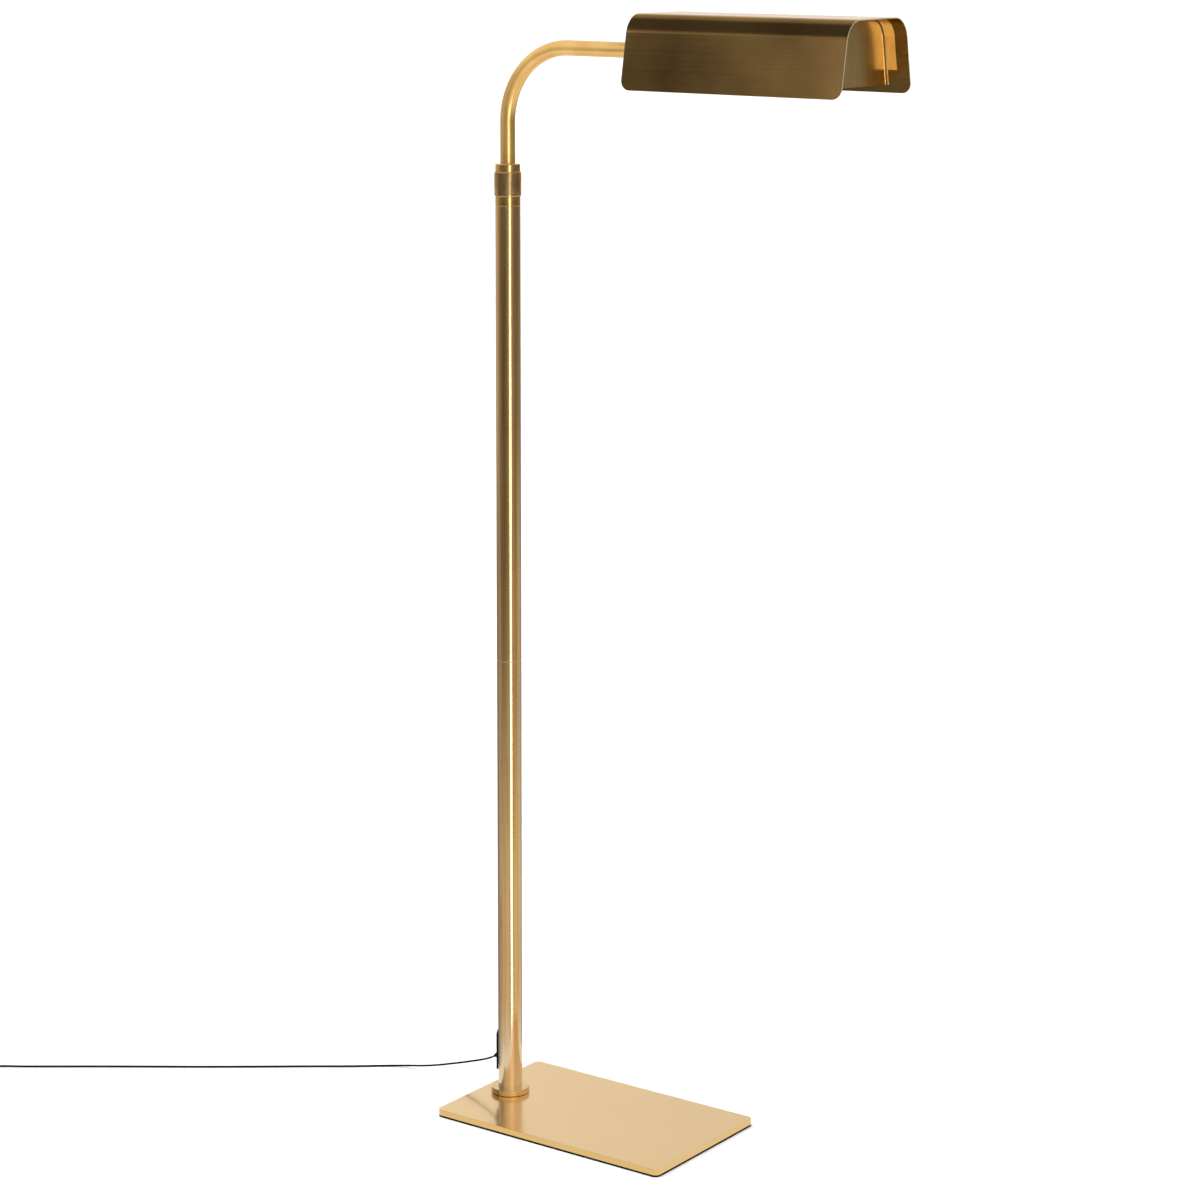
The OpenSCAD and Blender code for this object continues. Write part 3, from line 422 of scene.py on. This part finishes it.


# painted light: the lower pole is painted pale towards its foot, standing in for the light that the plate and
# floor throw up onto it
footPaintedLight = {"heights": (0.02, 0.12), "colour": (0.84, 0.66, 0.42)}  # metres
finishes = {
    "plate": brassFinish("satinPlateBrass", (0.86, 0.545, 0.178), (0.8, 0.495, 0.15), 0.2, (6, 700, 300),
                         cloud=5, lacquer=1.0),
    # painted light: a paler copy of turned brass for the foot flange, for the light it catches off the plate
    # and floor
    "foot": brassFinish("turnedFootBrassPaintedPale", (0.84, 0.6, 0.3), (0.66, 0.45, 0.2), 0.14, (80, 80, 1400), cloud=40),
    "lowerPole": brassFinish("lowerPoleBrass", (0.82, 0.52, 0.215), (0.61, 0.37, 0.14), 0.15, (900, 900, 5),
                             cloud=9, lineShare=0.75, stops=(0.4, 0.6), lacquer=0.5, paintedPaleFoot=footPaintedLight),
    "upperPole": brassFinish("upperPoleBrass", (0.82, 0.5, 0.19), (0.6, 0.345, 0.12), 0.15, (900, 900, 5),
                             cloud=9, lineShare=0.75, stops=(0.4, 0.6), lacquer=0.5),
    "arm": brassFinish("agedArmBrass", (0.94, 0.6, 0.21), (0.78, 0.46, 0.145), 0.33, (60, 60, 60), cloud=22,
                       lineShare=0.3),
    "turned": brassFinish("turnedBrass", (0.82, 0.5, 0.18), (0.62, 0.355, 0.115), 0.14, (80, 80, 1400),
                          cloud=40),
    "knurl": brassFinish("knurledBrass", (0.72, 0.5, 0.22), (0.52, 0.35, 0.15), 0.2, (300, 300, 60), cloud=20),
    "valleyShade": brassFinish("knurlValleyPaintedShade", (0.24, 0.165, 0.08), (0.15, 0.1, 0.05), 0.35, (300, 300, 60),
                          cloud=20),
    # random patina, shifted so that its darker patches fall at the left end: partly real tone, partly a painted
    # shade along the shade's length
    "shade": brassFinish("antiquedShadeBrass", (0.46, 0.275, 0.096), (0.27, 0.152, 0.05), 0.16, (5, 1500, 1500),
                         cloud=8, lineShare=0.25, cloudPlace=(0.35, 0.1, 0.2), edgeTint=(1, 0.86, 0.68)),
    # painted shade: a much darker brass for the shade's inside
    "shadeInside": brassFinish("shadeInsidePaintedShade", (0.15, 0.088, 0.028), (0.1, 0.057, 0.019), 0.26,
                               (5, 1500, 1500), cloud=9, lineShare=0.25, edgeTint=(0.85, 0.6, 0.3)),
    # pale raw brass for cut edges, also used as a painted highlight
    "rawEdgeAndHighlight": brassFinish("sawnEdgeAndPaintedHighlight", (0.98, 0.84, 0.60), (0.88, 0.72, 0.46), 0.5, (900, 900, 900),
                           cloud=60),
    "bendShade": brassFinish("paintedBendShade", (0.13, 0.075, 0.03), (0.07, 0.04, 0.018), 0.35, (300, 300, 300),
                           cloud=40),
    "end": brassFinish("polishedEndBrass", (0.88, 0.6, 0.25), (0.74, 0.48, 0.18), 0.24, (300, 300, 12),
                       cloud=18, roughSpread=0.04),
    "steel": mouldedFinish("zincSteel", (0.62, 0.62, 0.64), 0.32, 500, 0.00001, metallic=1.0),
    "pad": mouldedFinish("blackFoamPad", (0.008, 0.008, 0.008), 0.9, 1400, 0.0001, spread=0.4, sheen=0.1),
    "plastic": mouldedFinish("blackMouldedPlastic", (0.012, 0.012, 0.012), 0.45, 1600, 0.00003, sheen=0.3),
    "gland": mouldedFinish("softBlackGland", (0.006, 0.006, 0.006), 0.7, 1600, 0.00003, sheen=0.06),
    "vinyl": mouldedFinish("blackVinylCord", (0.004, 0.004, 0.004), 0.6, 1200, 0.00003, sheen=0.12),
    "redLead": mouldedFinish("redVinylLead", (0.5, 0.08, 0.06), 0.45, 1200, 0.00003),
    "nylon": mouldedFinish("naturalNylon", (0.86, 0.84, 0.78), 0.45, 900, 0.00003, spread=0.05),
    "alloy": mouldedFinish("anodisedAlloy", (0.75, 0.76, 0.77), 0.36, 700, 0.00001, metallic=1.0, spread=0.06),
    "board": mouldedFinish("whiteLightBoard", (0.9, 0.9, 0.88), 0.4, 400, 0.00001, spread=0.04),
    "chip": mouldedFinish("yellowLightChip", (0.92, 0.8, 0.32), 0.3, 900, 0.00001, spread=0.1),
    "opal": mouldedFinish("opalDiffuser", (0.95, 0.94, 0.9), 0.5, 600, 0.00002, spread=0.03),
}
opalSurface = finishes["opal"].node_tree.nodes["Principled BSDF"]
opalSurface.inputs["Subsurface Weight"].default_value = 0.3
opalSurface.inputs["Subsurface Scale"].default_value = 0.004
cord.data.materials.append(finishes["vinyl"])

nodeFinishes = {
    "turned": ["foot_plug", "pole_coupler", "arm_stop", "swivel_spigot", "swivel_nut"],
    "steel": ["hold_down_bolt", "hold_down_washer", "bush_clip", "spring_washer", "adapter_pins"],
    "nylon": ["collet", "guide_bush", "swivel_washers"],
    "gland": ["cord_gland"],
    "plastic": ["led_tape", "cord_tie", "switch_base", "switch_cover", "switch_button",
                "adapter_case", "adapter_boot"],
    "vinyl": ["pole_lead", "arm_lead"],
    "redLead": ["head_lead"],
    "alloy": ["led_channel", "push_switch"],
    "board": ["led_board"],
    "chip": ["led_chips"],
    "opal": ["led_cover"],
}
for finish, names in nodeFinishes.items():
    for name in names:
        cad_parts[name].data.materials.clear()
        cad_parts[name].data.materials.append(finishes[finish])
print("finishes ready:", len(finishes))


# Tools for the pieces

easeAngle = 40  # degrees past which an edge is eased
smoothAngle = 38  # degrees up to which shading runs on smoothly
sharpAngle = 57  # degrees past which a slab's edge is a rim
turnSteps = 128
sameGap = 0.01 * mm
mergeGap = 0.001 * mm


def startPiece(adder, name, **settings):
    bpy.ops.object.select_all(action="DESELECT")
    adder(**settings)
    piece = bpy.context.object
    piece.name = name
    piece.data.name = name
    bpy.ops.object.transform_apply(location=True, rotation=True, scale=True)
    bpy.ops.object.mode_set(mode="EDIT")
    bpy.ops.mesh.select_mode(type="VERT")
    bpy.ops.mesh.select_all(action="SELECT")
    return piece


def pick(piece, kind, test):
    # in edit mode: select only the vertices, edges or faces that pass the test
    bpy.ops.mesh.select_mode(type=kind)
    bpy.ops.mesh.select_all(action="DESELECT")
    mesh = bmesh.from_edit_mesh(piece.data)
    parts = {"VERT": mesh.verts, "EDGE": mesh.edges, "FACE": mesh.faces}[kind]
    parts.index_update()
    for part in [part for part in parts if test(part)]:
        part.select_set(True)
    mesh.select_flush_mode()
    bmesh.update_edit_mesh(piece.data)


def near(value, target):
    return abs(value - target) < sameGap


def middle(edge):
    return (edge.verts[0].co + edge.verts[1].co) / 2


def pull(x, y, z):
    bpy.ops.mesh.extrude_region_move(TRANSFORM_OT_translate={"value": (x * mm, y * mm, z * mm)})


def applyModifier(piece, kind, **settings):
    modifier = piece.modifiers.new(kind.lower(), kind)
    for key, value in settings.items():
        setattr(modifier, key, value)
    bpy.ops.object.modifier_apply(modifier=modifier.name)


def mendNormals():
    bpy.ops.mesh.select_all(action="SELECT")
    bpy.ops.mesh.remove_doubles(threshold=mergeGap)
    bpy.ops.mesh.normals_make_consistent(inside=False)


def closeEdit(piece):
    bpy.ops.object.mode_set(mode="OBJECT")
    bpy.ops.object.select_all(action="DESELECT")
    piece.select_set(True)
    bpy.context.view_layer.objects.active = piece


def finishPiece(piece, body, nodes, finish, ease=0.0, easeSteps=2):
    # eased edges, smooth shading, then the piece takes the place of its CAD nodes
    if ease > 0:
        applyModifier(piece, "BEVEL", width=ease * mm, segments=easeSteps, limit_method="ANGLE",
                      angle_limit=math.radians(easeAngle))
    bpy.ops.object.shade_smooth_by_angle(angle=math.radians(smoothAngle))
    applyModifier(piece, "WEIGHTED_NORMAL", keep_sharp=True)
    piece.data.materials.clear()
    piece.data.materials.append(finishes[finish])
    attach(piece, body)
    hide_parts(*nodes)
    print("made", piece.name, len(piece.data.polygons), "faces")


def paintFaces(piece, finish, test):
    # a second finish on the faces that pass the test
    piece.data.materials.append(finishes[finish])
    piece.active_material_index = len(piece.data.materials) - 1
    bpy.ops.object.mode_set(mode="EDIT")
    pick(piece, "FACE", test)
    bpy.ops.object.material_slot_assign()
    closeEdit(piece)


def turnPiece(name, outline):
    # a closed outline of (radius, height) turned about the pole's axis
    piece = startPiece(bpy.ops.mesh.primitive_plane_add, name, size=mm)
    bpy.ops.mesh.merge(type="CENTER")
    radius, height = outline[0]
    bpy.ops.transform.translate(value=(radius * mm, 0, height * mm))
    for here, there in zip(outline, outline[1:]):
        pull(there[0] - here[0], 0, there[1] - here[1])
    last = len(outline) - 1
    pick(piece, "VERT", lambda vert: vert.index in (0, last))
    bpy.ops.mesh.edge_face_add()
    bpy.ops.mesh.select_all(action="SELECT")
    bpy.ops.mesh.spin(steps=turnSteps, angle=math.tau, center=(0, 0, 0), axis=(0, 0, 1))
    mendNormals()
    closeEdit(piece)
    return piece


# Base

plateSizes = {
    "length": 276, "width": 172.5, "thickness": 6, "low": 2, "middleX": 108.5, "corner": 6, "cornerSteps": 12,
    "edge": 0.12, "edgeSteps": 6, "lowEdge": 0.3, "lowEdgeSteps": 2,
}
padSizes = {"inset": 0.1, "thickness": 2, "corner": 5.9, "ease": 0.1}


def roundSlab(name, length, width, low, high, corner, middleX):
    slab = startPiece(bpy.ops.mesh.primitive_cube_add, name, size=1)
    bpy.ops.transform.resize(value=(length * mm, width * mm, (high - low) * mm))
    bpy.ops.transform.translate(value=(middleX * mm, 0, (low + high) / 2 * mm))
    pick(slab, "EDGE", lambda edge: near(edge.verts[0].co.x, edge.verts[1].co.x)
         and near(edge.verts[0].co.y, edge.verts[1].co.y))
    bpy.ops.mesh.bevel(offset=corner * mm, segments=plateSizes["cornerSteps"], affect="EDGES")
    return slab


def pickRim(slab, height):
    pick(slab, "EDGE", lambda edge: near(middle(edge).z, height * mm)
         and edge.calc_face_angle(0) > math.radians(sharpAngle))


def makeBase():
    top = plateSizes["low"] + plateSizes["thickness"]
    plate = roundSlab("basePlate", plateSizes["length"], plateSizes["width"], plateSizes["low"], top,
                      plateSizes["corner"], plateSizes["middleX"])
    pickRim(plate, top)
    bpy.ops.mesh.bevel(offset=plateSizes["edge"] * mm, segments=plateSizes["edgeSteps"], affect="EDGES")
    pickRim(plate, plateSizes["low"])
    bpy.ops.mesh.bevel(offset=plateSizes["lowEdge"] * mm, segments=plateSizes["lowEdgeSteps"], affect="EDGES")
    closeEdit(plate)
    finishPiece(plate, "stand", ["base_plate"], "plate")
    inset = 2 * padSizes["inset"]
    pad = roundSlab("basePad", plateSizes["length"] - inset, plateSizes["width"] - inset, 0,
                    padSizes["thickness"], padSizes["corner"], plateSizes["middleX"])
    closeEdit(pad)
    finishPiece(pad, "stand", ["base_pad"], "pad", ease=padSizes["ease"])


flangeSizes = {"bore": 12.55, "radius": 20, "low": 8, "height": 6, "ease": 0.8}
poleSizes = {
    "radius": 12.5, "bore": 11.3, "low": 8, "joint": 470.5, "jointFacing": 0.3, "top": 933, "ease": 0.5,
}


def makePole():
    low, high = flangeSizes["low"], flangeSizes["low"] + flangeSizes["height"]
    flange = turnPiece("footFlange", [
        (flangeSizes["bore"], low), (flangeSizes["radius"], low), (flangeSizes["radius"], high),
        (flangeSizes["bore"], high),
    ])
    finishPiece(flange, "stand", ["foot_flange"], "foot", ease=flangeSizes["ease"], easeSteps=5)
    for name, node, start, end in (
        ("lowerPole", "lower_pole", poleSizes["low"], poleSizes["joint"]),
        ("upperPole", "upper_pole", poleSizes["joint"], poleSizes["top"]),
    ):
        pole = turnPiece(name, [
            (poleSizes["bore"], start), (poleSizes["radius"], start), (poleSizes["radius"], end),
            (poleSizes["bore"], end),
        ])
        finishPiece(pole, "stand", [node], name, ease=poleSizes["ease"], easeSteps=3)
        if node == "lower_pole":
            # painted highlight: its turned upper end is painted pale, so the joint shows as a fine bright line
            paintFaces(pole, "rawEdgeAndHighlight", lambda face: face.normal.z > poleSizes["jointFacing"]
                       and abs(face.calc_center_median().z - poleSizes["joint"] * mm) < poleSizes["ease"] * mm)


# Lock collar

collarSizes = {
    "bore": 7.8, "spigotLow": 909, "spigot": 11.25, "bandTop": 942.2, "neck": 10.38, "neckWall": 1.3,
    "neckTop": 956.2, "seat": 1.5, "ferruleEase": 0.3,
    "ringLow": 942.28, "ringTop": 966.28, "ring": 13.5, "ringBore": 10.5, "land": 0.9, "rim": 0.5,
    "rimSteps": 3, "rimReach": 0.1,
    "ribs": 84, "ribDepth": 0.4, "ribSlope": 0.05, "ribEase": 0.05, "valleySpread": (-0.1, 0.06),
    "cap": 12.5, "capTop": 974.08, "capSink": 1.8, "capGap": 0.05, "capEase": 0.6,
}


def makeCollar():
    sizes = collarSizes
    ferrule = turnPiece("topFerrule", [
        (sizes["bore"], sizes["spigotLow"]), (sizes["spigot"], sizes["spigotLow"]),
        (sizes["spigot"], poleSizes["top"]), (poleSizes["radius"], poleSizes["top"]),
        (poleSizes["radius"], sizes["bandTop"]), (sizes["neck"], sizes["bandTop"]),
        (sizes["neck"], sizes["neckTop"]), (sizes["neck"] - sizes["neckWall"], sizes["neckTop"]),
        (sizes["neck"] - sizes["neckWall"], sizes["bandTop"] + sizes["seat"]),
        (sizes["bore"], sizes["bandTop"] + sizes["seat"]),
    ])
    finishPiece(ferrule, "stand", ["top_ferrule"], "turned", ease=sizes["ferruleEase"],
                easeSteps=3)

    # grip: every second face of a many-sided drum is raised into a rib
    root = sizes["ring"] - sizes["ribDepth"]
    gripLow, gripTop = sizes["ringLow"] + sizes["land"], sizes["ringTop"] - sizes["land"]
    ring = startPiece(
        bpy.ops.mesh.primitive_cylinder_add, "lockRing", vertices=2 * sizes["ribs"], radius=root * mm,
        depth=(gripTop - gripLow) * mm, end_fill_type="NOTHING", location=(0, 0, (gripLow + gripTop) / 2 * mm),
    )
    step = math.tau / (2 * sizes["ribs"])
    pick(ring, "FACE", lambda face: int(
        (math.atan2(face.calc_center_median().y, face.calc_center_median().x) + math.tau) / step) % 2 == 0)
    bpy.ops.mesh.inset(thickness=sizes["ribSlope"] * mm, depth=sizes["ribDepth"] * mm, use_individual=True)
    scale = sizes["ringBore"] / root
    for end, land in ((gripLow, sizes["ringLow"]), (gripTop, sizes["ringTop"])):
        pick(ring, "EDGE", lambda edge: edge.is_boundary and near(middle(edge).z, end * mm))
        pull(0, 0, land - end)
        pull(0, 0, 0)
        bpy.ops.transform.resize(value=(scale, scale, 1), center_override=(0, 0, land * mm))
    pick(ring, "EDGE", lambda edge: edge.is_boundary)
    bpy.ops.mesh.bridge_edge_loops()
    mendNormals()
    pick(ring, "EDGE", lambda edge: middle(edge).xy.length > (root - sizes["rimReach"]) * mm
         and (near(middle(edge).z, sizes["ringLow"] * mm) or near(middle(edge).z, sizes["ringTop"] * mm)))
    bpy.ops.mesh.bevel(offset=sizes["rim"] * mm, segments=sizes["rimSteps"], affect="EDGES")
    closeEdit(ring)
    finishPiece(ring, "lock_collar", ["lock_ring"], "knurl", ease=sizes["ribEase"])
    paintFaces(ring, "turned", lambda face: not gripLow * mm < face.calc_center_median().z < gripTop * mm)
    # painted shade: the valley floors between the ribs are painted dark, for the shade that falls between them
    valleyLow, valleyHigh = [(root + spread) * mm for spread in sizes["valleySpread"]]
    paintFaces(ring, "valleyShade", lambda face: gripLow * mm < face.calc_center_median().z < gripTop * mm
               and valleyLow < face.calc_center_median().xy.length < valleyHigh)

    sunk = sizes["ringTop"] - sizes["capSink"]
    cap = turnPiece("lockCap", [
        (sizes["bore"], sunk), (sizes["ringBore"] - sizes["capGap"], sunk),
        (sizes["ringBore"] - sizes["capGap"], sizes["ringTop"]), (sizes["cap"], sizes["ringTop"]),
        (sizes["cap"], sizes["capTop"]), (sizes["bore"], sizes["capTop"]),
    ])
    finishPiece(cap, "lock_collar", ["lock_cap"], "turned", ease=sizes["capEase"], easeSteps=4)


# Arm

armSizes = {
    "radius": 7.5, "wall": 1.2, "foot": 561.4, "bendStart": 1015.5, "bend": 74, "end": 200.42, "sides": 96,
    "bendSteps": 64, "ease": 0.25,
}


def makeArm():
    sizes = armSizes
    arm = startPiece(bpy.ops.mesh.primitive_circle_add, "armTube", vertices=sizes["sides"],
                     radius=sizes["radius"] * mm, location=(0, 0, sizes["foot"] * mm))
    pull(0, 0, sizes["bendStart"] - sizes["foot"])
    bpy.ops.mesh.spin(steps=sizes["bendSteps"], angle=-math.pi / 2, axis=(0, 1, 0),
                      center=(sizes["bend"] * mm, 0, sizes["bendStart"] * mm))
    pull(sizes["end"] - sizes["bend"], 0, 0)
    mendNormals()
    closeEdit(arm)
    applyModifier(arm, "SOLIDIFY", thickness=sizes["wall"] * mm, offset=-1)
    finishPiece(arm, "arm", ["arm_tube"], "arm", ease=sizes["ease"])


# Shade

shadeSizes = {
    "start": 180, "length": 242, "axis": 1089.5, "foldX": 31.36, "foldY": 14.7, "fold": 22, "slope": 10,
    "rim": -33.8, "sheet": 1, "corner": 10, "cornerSteps": 14, "foldSteps": 28, "ease": 0.22,
    "endFacing": 0.6, "rimFacing": 0.8,
}
endSizes = {
    "inner": 205.7, "outer": 396.3, "gap": 0.05, "thickness": 1.2, "lift": 7.5, "flange": 13, "flangeLift": 14,
    "bend": 3, "bendSteps": 8, "bendMargin": 0.2, "bendFacing": (0.3, 0.96), "hole": 5.08, "holeSides": 64,
    "drillDepth": 10, "ease": 0.2,
}


def foldLine(name, x, inset, low, notch=0):
    # one open line over the shade: up a side, round a fold, across the top and down again, with a point at the
    # notch's height on each side
    sizes = shadeSizes
    radius = sizes["fold"] - inset
    slope = math.radians(sizes["slope"])
    sideY, sideZ = sizes["foldX"] + radius * math.cos(slope), sizes["foldY"] + radius * math.sin(slope)
    footY = sideY + (sideZ - low) * math.tan(slope)
    arc = math.radians(90 - sizes["slope"])
    piece = startPiece(bpy.ops.mesh.primitive_plane_add, name, size=mm)
    bpy.ops.mesh.merge(type="CENTER")
    bpy.ops.transform.translate(value=(x * mm, footY * mm, (sizes["axis"] + low) * mm))
    rises = [sideZ - low]
    if notch > 0:
        rises = [notch, sideZ - low - notch]
    for rise in rises:
        pull(0, -rise * math.tan(slope), rise)
    for side in (1, -1):
        bpy.ops.mesh.spin(
            steps=sizes["foldSteps"], angle=-arc, axis=(1, 0, 0),
            center=(x * mm, side * sizes["foldX"] * mm, (sizes["axis"] + sizes["foldY"]) * mm),
        )
        if side == 1:
            pull(0, -2 * sizes["foldX"], 0)
    for rise in reversed(rises):
        pull(0, -rise * math.tan(slope), -rise)
    bpy.ops.mesh.select_all(action="SELECT")
    return piece


def makeShade():
    sizes = shadeSizes
    shell = foldLine("shadeShell", sizes["start"], 0, sizes["rim"])
    pull(sizes["length"], 0, 0)
    mendNormals()
    rim = (sizes["axis"] + sizes["rim"]) * mm
    pick(shell, "VERT", lambda vert: near(vert.co.z, rim))
    bpy.ops.mesh.bevel(affect="VERTICES", offset=sizes["corner"] * mm, segments=sizes["cornerSteps"])
    closeEdit(shell)
    applyModifier(shell, "SOLIDIFY", thickness=sizes["sheet"] * mm, offset=-1)
    finishPiece(shell, "shade", ["shade_shell"], "shade", ease=sizes["ease"], easeSteps=3)
    # painted shade: the shell's inner faces take a much darker copy of the brass, for the shade inside the hood
    axis = sizes["axis"] * mm
    paintFaces(shell, "shadeInside", lambda face: face.normal.y * face.calc_center_median().y
               + face.normal.z * (face.calc_center_median().z - axis) < 0)
    # the sheet's cut ends and lower rim are raw brass, painted pale, and this pale also stands in for the
    # highlight along them
    paintFaces(shell, "rawEdgeAndHighlight", lambda face: abs(face.normal.x) > sizes["endFacing"]
               or face.normal.z < -sizes["rimFacing"] and face.calc_center_median().z < axis)


def makeEndPlate(name, face, way):
    # way is the direction in which the flange turns out
    sizes = endSizes
    inset = shadeSizes["sheet"] + sizes["gap"]
    low = shadeSizes["rim"] + sizes["lift"]
    root = sizes["bend"] + sizes["bendMargin"]
    plate = foldLine(name, face + way * sizes["flange"], inset, low, sizes["flangeLift"])
    pull(-way * (sizes["flange"] - root), 0, 0)
    pull(-way * root, 0, 0)
    foot = (shadeSizes["axis"] + low) * mm
    notch = foot + sizes["flangeLift"] * mm
    pick(plate, "FACE", lambda part: part.calc_center_median().z < notch
         and abs(part.calc_center_median().x - face * mm) > root * mm)
    bpy.ops.mesh.delete(type="FACE")
    pick(plate, "VERT", lambda vert: near(vert.co.x, face * mm))
    bpy.ops.mesh.edge_face_add()
    pick(plate, "EDGE", lambda edge: near(middle(edge).x, face * mm) and not near(middle(edge).z, foot))
    bpy.ops.mesh.bevel(offset=sizes["bend"] * mm, segments=sizes["bendSteps"], affect="EDGES")
    mendNormals()
    closeEdit(plate)
    return plate


def boreHole(piece, x):
    drill = startPiece(
        bpy.ops.mesh.primitive_cylinder_add, "drill", vertices=endSizes["holeSides"],
        radius=endSizes["hole"] * mm, depth=endSizes["drillDepth"] * mm,
        location=(x * mm, 0, shadeSizes["axis"] * mm), rotation=(0, math.pi / 2, 0),
    )
    closeEdit(drill)
    closeEdit(piece)
    applyModifier(piece, "BOOLEAN", operation="DIFFERENCE", solver="EXACT", object=drill)
    bpy.data.objects.remove(drill)


def makeEnds():
    shallow, steep = endSizes["bendFacing"]
    for name, node, face, way in (
        ("endPlateInner", "end_plate_inner", endSizes["inner"], -1),
        ("endPlateOuter", "end_plate_outer", endSizes["outer"], 1),
    ):
        plate = makeEndPlate(name, face, way)
        applyModifier(plate, "SOLIDIFY", thickness=endSizes["thickness"] * mm, offset=-1)
        if way < 0:
            boreHole(plate, face)
        finishPiece(plate, "shade", [node], "end", ease=endSizes["ease"])
        # painted shade: the bend between each end plate and its flange is painted dark, for the shade in the
        # crease
        paintFaces(plate, "bendShade", lambda part: shallow < abs(part.normal.x) < steep
                   and abs(part.calc_center_median().x - face * mm) < endSizes["bend"] * mm)


makeBase()
makePole()
makeCollar()
makeArm()
makeShade()
makeEnds()
